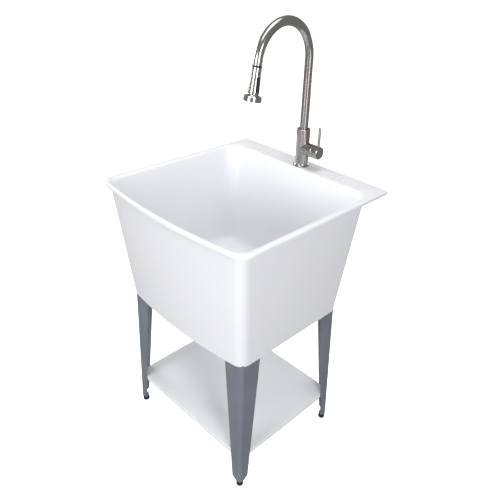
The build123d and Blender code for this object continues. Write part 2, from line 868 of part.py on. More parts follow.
with BuildPart() as base_ring:
    low = rim_height + gasket_depth
    with BuildSketch(tap_plane):
        with BuildLine():
            Polyline(
                (body_radius + ring_lap, body_low), (shank_radius + strainer_clear, body_low),
                (shank_radius + strainer_clear, low), (ring_radius, low), (ring_radius, low + ring_edge),
            )
            ThreePointArc(
                (ring_radius, low + ring_edge), (body_radius + ring_waist, low + ring_waist_rise),
                (body_radius + ring_lap, body_low),
            )
        make_face()
    revolve(axis=tap_axis)
finish(base_ring, "base_ring")

with BuildPart() as mounting_shank:
    add(tap_ring(shank_radius - shank_wall, shank_radius, shank_bottom, body_low + shank_grip))
finish(mounting_shank, "mounting_shank")

seal_low = pad_under - seal_depth
with BuildPart() as mounting_gasket:
    add(tap_ring(shank_radius + strainer_clear, seal_radius, seal_low, pad_under))
finish(mounting_gasket, "mounting_gasket")

with BuildPart() as mounting_washer:
    add(tap_ring(shank_radius + strainer_clear, seal_radius, seal_low - plate_depth, seal_low))
finish(mounting_washer, "mounting_washer")

jam_nut_top = seal_low - plate_depth - jam_gap
with BuildPart() as mounting_nut:
    with BuildSketch(Plane.XY.offset(jam_nut_top - jam_nut_depth)):
        with Locations((0, tap_y)):
            Circle(nut_radius)
            Circle(shank_radius + screw_clear, mode=Mode.SUBTRACT)
            with PolarLocations(jam_screw_circle, 2):
                Circle(jam_screw_radius + screw_clear, mode=Mode.SUBTRACT)
    extrude(amount=jam_nut_depth)
finish(mounting_nut, "mounting_nut")

with BuildPart() as nut_screws:
    with BuildSketch(Plane.XY.offset(seal_low - plate_depth)):
        with Locations((0, tap_y)):
            with PolarLocations(jam_screw_circle, 2):
                Circle(jam_screw_radius)
    extrude(amount=-jam_screw_length)
    with BuildSketch(Plane.XY.offset(seal_low - plate_depth - jam_screw_length)):
        with Locations((0, tap_y)):
            with PolarLocations(jam_screw_circle, 2):
                Circle(jam_screw_head)
    extrude(amount=-jam_screw_head_depth)
finish(nut_screws, "nut_screws")

# ---- tap: body with its valve branch ----------------------------------------------
with BuildPart() as faucet_body:
    with BuildSketch(Plane.XY.offset(body_low)):
        with Locations((0, tap_y)):
            Circle(body_radius)
    extrude(amount=body_top - body_low)
    chamfer(faucet_body.faces().sort_by(Axis.Z)[-1].edges(), body_edge)
    with BuildSketch(Plane((0, tap_y, branch_height), x_dir=(0, 1, 0), z_dir=(1, 0, 0))):
        Circle(branch_radius)
    extrude(amount=branch_end)
    chamfer(faucet_body.faces().sort_by(Axis.X)[-1].edges(), branch_chamfer)
    add(tap_ring(0, body_bore, body_low, body_top), mode=Mode.SUBTRACT)
    add(tap_ring(0, shank_radius + shank_clear, body_low, body_low + shank_grip), mode=Mode.SUBTRACT)
    add(tap_ring(0, collar_radius, collar_floor, body_top), mode=Mode.SUBTRACT)
    with BuildSketch(Plane((branch_start, tap_y, branch_height), x_dir=(0, 1, 0), z_dir=(1, 0, 0))):
        Circle(branch_bore)
    extrude(amount=branch_end - branch_start, mode=Mode.SUBTRACT)
finish(faucet_body, "faucet_body")

# ---- tap: mixer cartridge, dome and lever handle ------------------------------------
branch_plane = Plane((0, tap_y, branch_height), x_dir=(1, 0, 0), z_dir=(0, -1, 0))


def branch_turn(points):
    return revolve_profile(points, branch_plane, branch_axis)


carrier_seat = carrier_radius + carrier_clear
with BuildPart() as cartridge:
    add(branch_turn((
        (branch_start, 0), (branch_start, cartridge_radius), (cartridge_end, cartridge_radius),
        (cartridge_end, carrier_seat), (carrier_start - carrier_gap, carrier_seat), (carrier_start - carrier_gap, 0),
    )))
finish(cartridge, "cartridge")

with BuildPart() as cartridge_nut:
    add(branch_turn((
        (cartridge_end, carrier_seat + cartridge_nut_lip), (cartridge_end, cartridge_radius),
        (branch_end, cartridge_radius), (branch_end, carrier_seat + cartridge_nut_lip),
    )))
finish(cartridge_nut, "cartridge_nut")

dome_inner = dome_radius - dome_wall
dome_base = branch_end - pivot_x
dome_tip = sqrt(dome_radius**2 - dome_opening**2)
with BuildPart() as valve_dome:
    with BuildSketch(Plane((pivot_x, tap_y, branch_height), x_dir=(1, 0, 0), z_dir=(0, -1, 0))):
        with BuildLine():
            half = (dome_base + dome_tip) / 2
            inner_tip = sqrt(dome_inner**2 - dome_opening**2)
            middle = (dome_base + inner_tip) / 2
            Line((dome_base, sqrt(dome_inner**2 - dome_base**2)), (dome_base, sqrt(dome_radius**2 - dome_base**2)))
            ThreePointArc(
                (dome_base, sqrt(dome_radius**2 - dome_base**2)), (half, sqrt(dome_radius**2 - half**2)),
                (dome_tip, dome_opening),
            )
            Line((dome_tip, dome_opening), (inner_tip, dome_opening))
            ThreePointArc(
                (inner_tip, dome_opening), (middle, sqrt(dome_inner**2 - middle**2)),
                (dome_base, sqrt(dome_inner**2 - dome_base**2)),
            )
        make_face()
    revolve(axis=branch_axis)
finish(valve_dome, "valve_dome")

stem_swing = sqrt((pivot_x - valve_stem_start)**2 + valve_stem_radius**2)
slot_start = pivot_x - stem_swing - carrier_gap
with BuildPart() as stem_carrier:
    add(branch_turn(((carrier_start, 0), (carrier_start, carrier_radius), (carrier_end, carrier_radius), (carrier_end, 0))))
    with BuildSketch(Plane.XZ.offset(-tap_y - valve_slot / 2)):
        with Locations(((carrier_end + slot_start) / 2, branch_height)):
            Rectangle(carrier_end - slot_start, 3 * carrier_radius)
    extrude(amount=valve_slot, mode=Mode.SUBTRACT)
    with BuildSketch(Plane.XZ.offset(-tap_y - carrier_radius)):
        with Locations((pivot_x, branch_height)):
            Circle(pin_radius + pin_clear)
    extrude(amount=2 * carrier_radius, mode=Mode.SUBTRACT)
finish(stem_carrier, "stem_carrier")

with BuildPart() as stem_pin:
    with BuildSketch(Plane.XZ.offset(-tap_y - pin_length / 2)):
        with Locations((pivot_x, branch_height)):
            Circle(pin_radius)
    extrude(amount=pin_length)
finish(stem_pin, "stem_pin")

with BuildPart() as cartridge_stem:
    add(branch_turn((
        (valve_stem_start, 0), (valve_stem_start, valve_stem_radius),
        (valve_stem_end, valve_stem_radius), (valve_stem_end, 0),
    )))
    with BuildSketch(Plane.XZ.offset(-tap_y - carrier_radius)):
        with Locations((pivot_x, branch_height)):
            Circle(pin_radius + pin_clear)
    extrude(amount=2 * carrier_radius, mode=Mode.SUBTRACT)
finish(cartridge_stem, "cartridge_stem")

set_screw_x = lever_x + set_screw_offset
hub_start = hub_cut_top - hub_trim - pivot_x
hub_reach = hub_end - pivot_x
hub_mid = (hub_start + hub_cavity) / 2
with BuildPart() as handle_hub:
    with BuildSketch(Plane((pivot_x, tap_y, branch_height), x_dir=(1, 0, 0), z_dir=(0, -1, 0))):
        with BuildLine():
            Polyline(
                (hub_cavity, 0), (hub_reach, 0), (hub_reach, hub_radius - hub_edge),
                (hub_reach - hub_edge, hub_radius), (hub_start, hub_radius),
                (hub_start, sqrt(hub_cavity**2 - hub_start**2)),
            )
            ThreePointArc(
                (hub_start, sqrt(hub_cavity**2 - hub_start**2)), (hub_mid, sqrt(hub_cavity**2 - hub_mid**2)),
                (hub_cavity, 0),
            )
        make_face()
    revolve(axis=branch_axis)
    # oblique inner end, nearer the body at the top
    cut_slope = (hub_cut_bottom - hub_cut_top) / (2 * hub_radius)
    with BuildSketch(Plane.XZ.offset(-tap_y - 2 * hub_radius)):
        with BuildLine():
            Polyline(
                (hub_cut_top - 2 * hub_radius * cut_slope, branch_height + 3 * hub_radius),
                (hub_cut_bottom + 2 * hub_radius * cut_slope, branch_height - 3 * hub_radius),
                (0, branch_height - 3 * hub_radius), (0, branch_height + 3 * hub_radius), close=True,
            )
        make_face()
    extrude(amount=4 * hub_radius, mode=Mode.SUBTRACT)
    with BuildSketch(Plane((pivot_x, tap_y, branch_height), x_dir=(0, 1, 0), z_dir=(1, 0, 0))):
        Circle(valve_stem_radius + screw_clear)
    extrude(amount=valve_stem_end - pivot_x + carrier_gap, mode=Mode.SUBTRACT)
    with BuildSketch(Plane.XY.offset(lever_foot)):
        with Locations((lever_x, tap_y)):
            Circle(lever_radius + screw_clear)
    extrude(amount=2 * hub_radius, mode=Mode.SUBTRACT)
    with BuildSketch(Plane.XY.offset(branch_height - 2 * hub_radius)):
        with Locations((set_screw_x, tap_y)):
            Circle(set_screw_radius + screw_clear)
    extrude(amount=2 * hub_radius, mode=Mode.SUBTRACT)
finish(handle_hub, "handle_hub")

with BuildPart() as lever_rod:
    with BuildSketch(Plane.XY.offset(lever_foot)):
        with Locations((lever_x, tap_y)):
            Circle(lever_radius)
    extrude(amount=lever_top - lever_foot)
    chamfer(lever_rod.faces().sort_by(Axis.Z)[-1].edges(), lever_tip)
finish(lever_rod, "lever_rod")

with BuildPart() as hub_screw:
    with BuildSketch(Plane.XY.offset(branch_height - valve_stem_radius - screw_clear)):
        with Locations((set_screw_x, tap_y)):
            Circle(set_screw_radius)
    extrude(amount=-set_screw_length)
finish(hub_screw, "hub_screw")

# ---- tap: gooseneck spout -------------------------------------------------------
arch_centre = tap_y - arch_radius
turn = radians(arch_turn)
tail_start = Vector(0, arch_centre + arch_radius * cos(turn), arch_height + arch_radius * sin(turn))
head_way = Vector(0, -sin(turn), cos(turn))
tube_end = tail_start + head_way * spout_tail
dock_end = tube_end + head_way * dock_length
head_start = dock_end + head_way * head_gap
spout_side = Plane((0, 0, 0), x_dir=(0, 1, 0), z_dir=(1, 0, 0))


def head_plane(distance):
    return Plane(head_start + head_way * distance, x_dir=(1, 0, 0), z_dir=head_way)


# Profile turned about the tilted head axis; points are (radius, distance).
def head_turn(points):
    plane = Plane(head_start, x_dir=(1, 0, 0), z_dir=(0, -head_way.Z, head_way.Y))
    return revolve_profile(
        [(radius, distance) for radius, distance in points], plane, Axis(head_start, head_way)
    )


with BuildPart() as spout_tube:
    with BuildLine(spout_side):
        Line((tap_y, spout_foot), (tap_y, arch_height))
        CenterArc((arch_centre, arch_height), arch_radius, 0, arch_turn)
        Line((tail_start.Y, tail_start.Z), (tube_end.Y, tube_end.Z))
    with BuildSketch(Plane.XY.offset(spout_foot)):
        with Locations((0, tap_y)):
            Circle(spout_radius)
            Circle(spout_radius - spout_wall, mode=Mode.SUBTRACT)
    sweep()
finish(spout_tube, "spout_tube")

bushing_low = collar_floor + bushing_lift
bushing_out = collar_radius - bushing_clear
with BuildPart() as spout_bushing:
    add(tap_ring(spout_radius + bushing_clear, bushing_out, bushing_low, bushing_top))
    add(tap_ring(spout_radius - spout_wall, bushing_out, bushing_low, spout_foot))
    for height in ring_heights:
        add(tap_ring(
            bushing_out - 2 * ring_section, bushing_out + ring_groove_past, height - ring_section, height + ring_section,
        ), mode=Mode.SUBTRACT)
finish(spout_bushing, "spout_bushing")

with BuildPart() as spout_rings:
    for height in ring_heights:
        with BuildSketch(tap_plane):
            with Locations((bushing_out - ring_section, height)):
                RegularPolygon(ring_section - bushing_clear, 8)
        revolve(axis=tap_axis)
finish(spout_rings, "spout_rings")

spigot_radius = spout_radius - spout_wall - bushing_clear
with BuildPart() as dock_sleeve:
    add(head_turn((
        (dock_bore, -head_gap), (dock_radius, -head_gap), (dock_radius, -head_gap - dock_length),
        (spigot_radius, -head_gap - dock_length), (spigot_radius, -head_gap - dock_length - dock_spigot),
        (dock_bore, -head_gap - dock_length - dock_spigot),
    )))
finish(dock_sleeve, "dock_sleeve")

# ---- tap: pull-down spray head -----------------------------------------------------
ring_start = head_length - nozzle_height


# Outside of the head as (radius, distance) points, grown outwards by an amount.
def head_skin(grow):
    return [
        (head_top_radius + grow, skin_edge), (head_top_radius + grow, head_grip),
        (head_waist_radius + grow, head_waist),
    ]


with BuildPart() as hose_connector:
    add(head_turn((
        (connector_bore, -connector_rise), (connector_radius, -connector_rise),
        (connector_radius, connector_length - connector_rise), (connector_bore, connector_length - connector_rise),
    )))
finish(hose_connector, "hose_connector")

rocker_middle = rocker_start + rocker_length / 2
button_plane = Plane(head_start + head_way * rocker_middle, x_dir=head_way, z_dir=(1, 0, 0))
pocket_length = rocker_length + 2 * (rocker_gap + bezel_wall)
pocket_width = rocker_width + 2 * (rocker_gap + bezel_wall)

with BuildPart() as spray_shell:
    with BuildSketch(Plane(head_start, x_dir=(1, 0, 0), z_dir=(0, -head_way.Z, head_way.Y))):
        with BuildLine():
            Polyline(
                (connector_radius + connector_clear, 0), (head_top_radius - skin_edge, 0), *head_skin(0),
            )
            ThreePointArc(
                (head_waist_radius, head_waist),
                (head_waist_radius + flare_bulge, (head_waist + ring_start) / 2 + flare_bulge),
                (head_end_radius, ring_start - flare_lip),
            )
            Polyline(
                (head_end_radius, ring_start - flare_lip), (head_end_radius, ring_start),
                (connector_radius + connector_clear, ring_start), (connector_radius + connector_clear, 0),
            )
        make_face()
    revolve(axis=Axis(head_start, head_way))
    with BuildSketch(button_plane.offset(pocket_floor)):
        RectangleRounded(pocket_length, pocket_width, bezel_corner)
    extrude(amount=head_waist_radius, mode=Mode.SUBTRACT)
finish(spray_shell, "spray_shell")

bezel_limit = head_turn([(0, skin_edge)] + head_skin(bezel_proud) + [(0, head_waist)])
with BuildPart() as button_bezel:
    with BuildSketch(button_plane.offset(pocket_floor)):
        RectangleRounded(pocket_length, pocket_width, bezel_corner)
        Rectangle(rocker_length + 2 * rocker_gap, rocker_width + 2 * rocker_gap, mode=Mode.SUBTRACT)
    extrude(amount=head_waist_radius)
    add(bezel_limit, mode=Mode.INTERSECT)
    with BuildSketch(Plane(button_plane.origin, x_dir=(1, 0, 0), z_dir=button_plane.y_dir).offset(-pocket_width)):
        with Locations((rocker_pivot, 0)):
            Circle(pivot_radius + pivot_clear)
    extrude(amount=2 * pocket_width, mode=Mode.SUBTRACT)
finish(button_bezel, "button_bezel")

rocker_limit = head_turn([(0, skin_edge)] + head_skin(rocker_proud) + [(0, head_waist)])
with BuildPart() as mode_rocker:
    with BuildSketch(button_plane.offset(rocker_low)):
        Rectangle(rocker_length, rocker_width)
    extrude(amount=head_waist_radius)
    add(rocker_limit, mode=Mode.INTERSECT)
    pivot_span = rocker_width + 2 * bezel_wall
    with BuildSketch(Plane(button_plane.origin, x_dir=(1, 0, 0), z_dir=button_plane.y_dir).offset(-pivot_span / 2)):
        with Locations((rocker_pivot, 0)):
            Circle(pivot_radius)
    extrude(amount=pivot_span)
finish(mode_rocker, "mode_rocker")

face_start = head_length - face_setback - face_depth
with BuildPart() as nozzle_ring:
    add(head_turn((
        (face_radius + screw_clear, ring_start), (nozzle_radius - nozzle_bevel, ring_start),
        (nozzle_radius, ring_start + nozzle_bevel), (nozzle_radius, head_length - nozzle_lip),
        (nozzle_radius - nozzle_lip, head_length), (face_radius + screw_clear, head_length),
    )))
finish(nozzle_ring, "nozzle_ring")

with BuildPart() as spray_face:
    with BuildSketch(head_plane(face_start)):
        Circle(face_radius)
        Circle(aerator_radius + screw_clear, mode=Mode.SUBTRACT)
        with PolarLocations((face_radius + aerator_radius) / 2, nozzle_count):
            Circle(nozzle_bore, mode=Mode.SUBTRACT)
    extrude(amount=face_depth)
finish(spray_face, "spray_face")

with BuildPart() as aerator:
    add(head_turn((
        (0, face_start - aerator_web), (aerator_radius, face_start - aerator_web), (aerator_radius, head_length),
        (aerator_radius - aerator_wall, head_length), (aerator_radius - aerator_wall, face_start + aerator_web),
        (0, face_start + aerator_web),
    )))
finish(aerator, "aerator")
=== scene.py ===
import bpy, bmesh, json, math
from mathutils import Matrix, Vector


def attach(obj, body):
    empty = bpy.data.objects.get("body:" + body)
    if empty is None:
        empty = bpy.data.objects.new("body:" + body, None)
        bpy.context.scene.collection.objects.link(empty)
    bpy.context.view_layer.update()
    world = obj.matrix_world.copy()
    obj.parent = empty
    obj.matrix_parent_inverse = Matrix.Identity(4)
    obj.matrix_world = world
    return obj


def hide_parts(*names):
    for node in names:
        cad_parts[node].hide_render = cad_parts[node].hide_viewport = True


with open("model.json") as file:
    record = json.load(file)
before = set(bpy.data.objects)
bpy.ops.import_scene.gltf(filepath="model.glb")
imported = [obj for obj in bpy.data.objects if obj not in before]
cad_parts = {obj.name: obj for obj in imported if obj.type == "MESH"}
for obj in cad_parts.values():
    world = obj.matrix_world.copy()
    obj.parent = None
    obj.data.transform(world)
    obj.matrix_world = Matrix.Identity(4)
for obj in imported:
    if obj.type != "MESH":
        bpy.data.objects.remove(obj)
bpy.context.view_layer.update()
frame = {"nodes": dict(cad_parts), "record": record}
nodes = frame["nodes"]
scene = bpy.context.scene
scene.view_settings.view_transform = "Standard"
print("frame loaded", len(nodes), "nodes")


class Wire:  # a socket that can be used in Python expressions
    def __init__(self, tree, socket):
        self.tree = tree
        self.socket = socket

    def make(self, kind, settings=None, values=None, out=0):  # settings first, then values or links
        node = self.tree.nodes.new(kind)
        for name, value in (settings or {}).items():
            setattr(node, name, value)
        for name, value in (values or {}).items():
            target = node.inputs[name]
            if isinstance(value, Wire):
                self.tree.links.new(value.socket, target)
            else:
                target.default_value = value
        return Wire(self.tree, node.outputs[out])

    def maths(self, operation, *values):
        return self.make("ShaderNodeMath", {"operation": operation}, dict(enumerate(values)))

    def __add__(self, other): return self.maths("ADD", self, other)
    def __radd__(self, other): return self.maths("ADD", other, self)
    def __sub__(self, other): return self.maths("SUBTRACT", self, other)
    def __rsub__(self, other): return self.maths("SUBTRACT", other, self)
    def __mul__(self, other): return self.maths("MULTIPLY", self, other)
    def __rmul__(self, other): return self.maths("MULTIPLY", other, self)
    def __truediv__(self, other): return self.maths("DIVIDE", self, other)

    def step(self, low, high):  # 0 below low, 1 above high
        return self.make("ShaderNodeMapRange", {"interpolation_type": "SMOOTHSTEP"},
                         {"Value": self, "From Min": low, "From Max": high})

    def noise(self, scale, detail, rough=0.5):
        return self.make("ShaderNodeTexNoise", None,
                         {"Vector": self, "Scale": scale, "Detail": detail, "Roughness": rough}, "Fac")

    def stretch(self, x, y, z):
        return self.make("ShaderNodeMapping", None, {"Vector": self, "Scale": (x, y, z)})

    def split(self):
        axes = self.make("ShaderNodeSeparateXYZ", None, {"Vector": self})
        return [Wire(self.tree, out) for out in axes.socket.node.outputs]

    def pack(self, x, y, z):
        return self.make("ShaderNodeCombineXYZ", None, {"X": x, "Y": y, "Z": z})

    def blend(self, low, high):  # self picks between two colours
        return self.make("ShaderNodeMix", {"data_type": "RGBA"}, {0: self, 6: low, 7: high}, 2)

    def bump(self, depth, strength=1.0):
        return self.make("ShaderNodeBump", None, {"Height": self, "Distance": depth, "Strength": strength})


def newFinish(name, build, **fixed):  # build gives the sockets that vary, fixed the ones that don't
    material = bpy.data.materials.new(name)
    material.use_nodes = True
    tree = material.node_tree
    shader = tree.nodes["Principled BSDF"]
    for socket, value in fixed.items():
        shader.inputs[socket.replace("_", " ")].default_value = value
    place = Wire(tree, tree.nodes.new("ShaderNodeTexCoord").outputs["Object"])
    for socket, wire in build(place).items():
        tree.links.new(wire.socket, shader.inputs[socket])
    return material


# the tub: glossy plastic with a faint orange peel, a little duller in its darker patches
tubFinish = {"white": (0.89, 0.895, 0.925, 1), "shade": (0.88, 0.886, 0.917, 1),
             "cloud": 4.0, "cloudLow": 0.25, "cloudHigh": 0.75,
             "gloss": 0.27, "dull": 0.31, "peel": 0.00005, "peelScale": 420.0}


def tubPlastic(place):
    cloud = place.noise(tubFinish["cloud"], 1.0)
    peel = place.noise(tubFinish["peelScale"], 1.0)
    patches = cloud.step(tubFinish["cloudLow"], tubFinish["cloudHigh"])
    return {"Base Color": patches.blend(tubFinish["white"], tubFinish["shade"]),
            "Roughness": tubFinish["gloss"] + (tubFinish["dull"] - tubFinish["gloss"]) * cloud,
            "Normal": peel.bump(tubFinish["peel"])}


# the shelf's plastic and the legs' paint: soft clouds of colour over a fine grain
shelfFinish = {"colour": (0.92, 0.935, 0.965, 1), "tint": (0.90, 0.915, 0.945, 1),
               "cloud": 7.0, "cloudLow": 0.4, "cloudHigh": 0.7,
               "grain": 900.0, "grainRough": 0.5, "gloss": 0.38, "dull": 0.1, "depth": 0.00005}
legFinish = {"colour": (0.168, 0.184, 0.222, 1), "tint": (0.19, 0.207, 0.245, 1),
             "cloud": 9.0, "cloudLow": 0.35, "cloudHigh": 0.7,
             "grain": 650.0, "grainRough": 0.6, "gloss": 0.36, "dull": 0.14, "depth": 0.0001}


def grainyFinish(finish):
    def build(place):
        cloud = place.noise(finish["cloud"], 3.0)
        grain = place.noise(finish["grain"], 2.0, finish["grainRough"])
        patches = cloud.step(finish["cloudLow"], finish["cloudHigh"])
        return {"Base Color": patches.blend(finish["colour"], finish["tint"]),
                "Roughness": finish["gloss"] + finish["dull"] * grain, "Normal": grain.bump(finish["depth"])}
    return build


# the tap: brushed nickel, with streaks drawn out along the way it was brushed
nickelFinish = {"metal": (0.42, 0.395, 0.378, 1), "light": (0.49, 0.465, 0.447, 1),
                "fine": 2600.0, "coarse": 30.0, "streakShare": 0.7, "patchShare": 0.3, "patch": 8.0,
                "toneLow": 0.25, "toneHigh": 0.75, "gloss": 0.19, "brushed": 0.04,
                "line": 0.000002, "lineStrength": 0.5, "streakDetail": 3.0, "streakRough": 0.6}
fine, coarse = nickelFinish["fine"], nickelFinish["coarse"]


def nickelFrom(stretched, place):
    streaks = stretched.noise(1.0, nickelFinish["streakDetail"], nickelFinish["streakRough"])
    patches = place.noise(nickelFinish["patch"], 1.0)
    tone = nickelFinish["streakShare"] * streaks + nickelFinish["patchShare"] * patches
    picked = tone.step(nickelFinish["toneLow"], nickelFinish["toneHigh"])
    return {"Base Color": picked.blend(nickelFinish["metal"], nickelFinish["light"]),
            "Roughness": nickelFinish["gloss"] + nickelFinish["brushed"] * streaks,
            "Normal": streaks.bump(nickelFinish["line"], nickelFinish["lineStrength"])}


def nickelUpright(place):  # brushed round an upright axis
    return nickelFrom(place.stretch(coarse, coarse, fine), place)


def nickelBranch(place):  # brushed round the side branch
    return nickelFrom(place.stretch(fine, coarse, coarse), place)


headTilt = math.radians(-10)


def nickelHead(place):  # brushed round the tilted head
    turned = place.make("ShaderNodeMapping", None, {"Vector": place, "Rotation": (headTilt, 0, 0)})
    return nickelFrom(turned.stretch(coarse, coarse, fine), place)


archShape = {"middleY": 0.1468, "middleZ": 1.168, "radius": 0.1008, "fade": 0.004}


def nickelArch(place):  # brushed round the bent tube: streaks follow the angle along the arch
    x, y, z = place.split()
    rise = z - archShape["middleZ"]
    along = rise.maths("ARCTAN2", rise, y - archShape["middleY"])
    bent = along * archShape["radius"] * fine
    upright = z * fine
    mask = z.step(archShape["middleZ"] - archShape["fade"], archShape["middleZ"] + archShape["fade"])
    mixed = mask * bent + (1 - mask) * upright
    return nickelFrom(place.pack(x * coarse, y * coarse, mixed), place)


# the small parts: colour, tint of the specks, roughness, speck scale, bump depth, metallic
smallFinishes = {
    "zinc": ((0.52, 0.54, 0.56), (0.62, 0.63, 0.64), 0.28, 260, 0.00003, 1.0),
    "stainless": ((0.50, 0.50, 0.50), (0.58, 0.58, 0.57), 0.22, 300, 0.00002, 1.0),
    "chrome": ((0.70, 0.71, 0.72), (0.76, 0.76, 0.77), 0.05, 120, 0.00001, 1.0),
    "brass": ((0.58, 0.42, 0.18), (0.68, 0.52, 0.26), 0.3, 240, 0.00004, 1.0),
    "whiteNylon": ((0.72, 0.72, 0.70), (0.66, 0.66, 0.64), 0.42, 500, 0.00005, 0.0),
    "blackPlastic": ((0.018, 0.018, 0.02), (0.03, 0.03, 0.033), 0.36, 700, 0.00005, 0.0),
    "blackRubber": ((0.014, 0.014, 0.014), (0.026, 0.026, 0.026), 0.6, 600, 0.00008, 0.0),
}
speckShape = {"low": 0.4, "high": 0.65, "dull": 0.12}


def speckled(colour, tint, rough, scale, depth):
    def build(place):
        speck = place.noise(scale, 3.0)
        patches = speck.step(speckShape["low"], speckShape["high"])
        return {"Base Color": patches.blend((*colour, 1), (*tint, 1)),
                "Roughness": rough + speckShape["dull"] * speck, "Normal": speck.bump(depth)}
    return build


finishes = {
    "tubPlastic": newFinish("tubPlastic", tubPlastic, Coat_Weight=0.15, Coat_Roughness=0.12, IOR=1.5),
    "shelfPlastic": newFinish("shelfPlastic", grainyFinish(shelfFinish), IOR=1.48),
    "legPaint": newFinish("legPaint", grainyFinish(legFinish), Coat_Weight=0.25, Coat_Roughness=0.25),
    "nickelUpright": newFinish("nickelUpright", nickelUpright, Metallic=1.0),
    "nickelBranch": newFinish("nickelBranch", nickelBranch, Metallic=1.0),
    "nickelHead": newFinish("nickelHead", nickelHead, Metallic=1.0),
    "nickelArch": newFinish("nickelArch", nickelArch, Metallic=1.0),
}
for name, (*values, metallic) in smallFinishes.items():
    finishes[name] = newFinish(name, speckled(*values), Metallic=metallic)
print("finishes made", len(finishes))

# the nodes that wear each finish; the levelling pads are rubber and all others zinc
wearers = {
    "tubPlastic": ("tub",),
    "shelfPlastic": ("shelf",),
    "legPaint": ("leg_front_left", "leg_front_right", "leg_back_left", "leg_back_right"),
    "nickelUpright": ("base_ring", "faucet_body", "lever_rod"),
    "nickelBranch": ("valve_dome", "handle_hub"),
    "nickelHead": ("spray_shell", "nozzle_ring"),
    "nickelArch": ("spout_tube",),
    "stainless": ("drain_basket", "stem_pin", "hub_screw"),
    "chrome": ("drain_body",),
    "brass": ("mounting_shank", "mounting_nut", "cartridge_nut", "cartridge_stem", "hose_connector"),
    "whiteNylon": ("drain_washer", "drain_locknut", "tailpiece", "tailpiece_washer", "coupling_nut",
                   "cartridge", "stem_carrier"),
    "blackPlastic": ("spout_bushing", "dock_sleeve", "button_bezel", "mode_rocker", "spray_face", "aerator"),
    "blackRubber": ("drain_gasket", "base_gasket", "mounting_gasket", "spout_rings"),
}
wears = {name: finish for finish, names in wearers.items() for name in names}
for name, node in nodes.items():
    finish = wears.get(name) or ("blackRubber" if name.startswith("leveler_pad") else "zinc")
    node.data.materials.clear()
    node.data.materials.append(finishes[finish])
print("nodes dressed")

# pieces that repeat, made by Geometry Nodes
numberIn, wholeIn, finishIn, shapeIn = (
    "NodeSocket" + kind for kind in ("Float", "Int", "Material", "Geometry"))
flats = {"shank": 24, "screwHead": 32, "stemHead": 40, "turn": 24, "tooth": 4,
         "nub": 20, "jet": 12, "wire": 5}  # how many flats make up each round


def newTree(name, inputs):  # gives the tree and a wire from each of its named inputs
    tree = bpy.data.node_groups.new(name, "GeometryNodeTree")
    for title, kind in inputs:
        tree.interface.new_socket(name=title, in_out="INPUT", socket_type=kind)
    tree.interface.new_socket(name="Geometry", in_out="OUTPUT", socket_type=shapeIn)
    entry = tree.nodes.new("NodeGroupInput")
    return tree, {title: Wire(tree, entry.outputs[title]) for title, kind in inputs}


def joinAll(shapes):
    joint = shapes[0].tree.nodes.new("GeometryNodeJoinGeometry")
    for shape in shapes:
        shape.tree.links.new(shape.socket, joint.inputs[0])
    return Wire(shapes[0].tree, joint.outputs[0])


def endTree(shape, finish):
    real = shape.make("GeometryNodeRealizeInstances", None, {"Geometry": shape})
    dressed = real.make("GeometryNodeSetMaterial", None, {"Geometry": real, "Material": finish})
    leave = shape.tree.nodes.new("NodeGroupOutput")
    shape.tree.links.new(dressed.socket, leave.inputs[0])


def growPiece(name, tree, values, body, seeds=None, turn=None):  # runs a tree once and keeps a plain mesh
    mesh = bpy.data.meshes.new(name + "Seeds")
    if seeds:
        mesh.from_pydata([place for place, facing in seeds], [], [])
        facings = mesh.attributes.new("facing", "FLOAT_VECTOR", "POINT")
        for index, (place, facing) in enumerate(seeds):
            facings.data[index].vector = facing
    piece = bpy.data.objects.new(name, mesh)
    scene.collection.objects.link(piece)
    modifier = piece.modifiers.new("grow", "NODES")
    modifier.node_group = tree
    for item in tree.interface.items_tree:
        if item.name in values and item.in_out == "INPUT":
            modifier[item.identifier] = values[item.name]
    bpy.context.view_layer.update()
    grown = bpy.data.meshes.new_from_object(piece.evaluated_get(bpy.context.evaluated_depsgraph_get()))
    piece.modifiers.remove(modifier)
    piece.data = grown
    if turn:
        grown.transform(turn)
    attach(piece, body)
    return piece


def moved(shape, place):
    return shape.make("GeometryNodeTransform", None, {"Geometry": shape, "Translation": place})


def rod(tree, radius, low, high, around=flats["shank"]):  # a round bar between two heights
    bar = Wire(tree, None).make("GeometryNodeMeshCylinder", None, {
        "Vertices": around, "Radius": radius, "Depth": high - low})
    return moved(bar, bar.pack(0, 0, (high + low) / 2))


# screws with a cross slot; the shares are of the head's own size or of the cross
screwShares = {"top": 0.72, "shankUp": 0.3, "slotWidth": 0.28, "slotLift": 1.02}
screwTree, screwIn = newTree("crossScrews", (
    ("Geometry", shapeIn), ("Head Radius", numberIn), ("Head Depth", numberIn), ("Shank Radius", numberIn),
    ("Shank Length", numberIn), ("Cross Width", numberIn), ("Finish", finishIn)))
headTop = screwIn["Head Depth"]
screwHead = headTop.make("GeometryNodeMeshCone", None, {
    "Vertices": flats["screwHead"], "Radius Bottom": screwIn["Head Radius"],
    "Radius Top": screwIn["Head Radius"] * screwShares["top"], "Depth": headTop})
shank = rod(screwTree, screwIn["Shank Radius"], 0 - screwIn["Shank Length"], headTop * screwShares["shankUp"])
solidScrew = shank.make("GeometryNodeMeshBoolean", {"operation": "UNION"}, {
    "Mesh 2": joinAll([screwHead, shank])})
crossSlot = []
for across, along in ((1.0, screwShares["slotWidth"]), (screwShares["slotWidth"], 1.0)):
    blade = headTop.make("GeometryNodeMeshCube", None, {
        "Size": headTop.pack(screwIn["Cross Width"] * across, screwIn["Cross Width"] * along, headTop)})
    crossSlot.append(moved(blade, headTop.pack(0, 0, headTop * screwShares["slotLift"])))
slotted = solidScrew.make("GeometryNodeMeshBoolean", {"operation": "DIFFERENCE"}, {
    "Mesh 1": solidScrew, "Mesh 2": joinAll(crossSlot)})
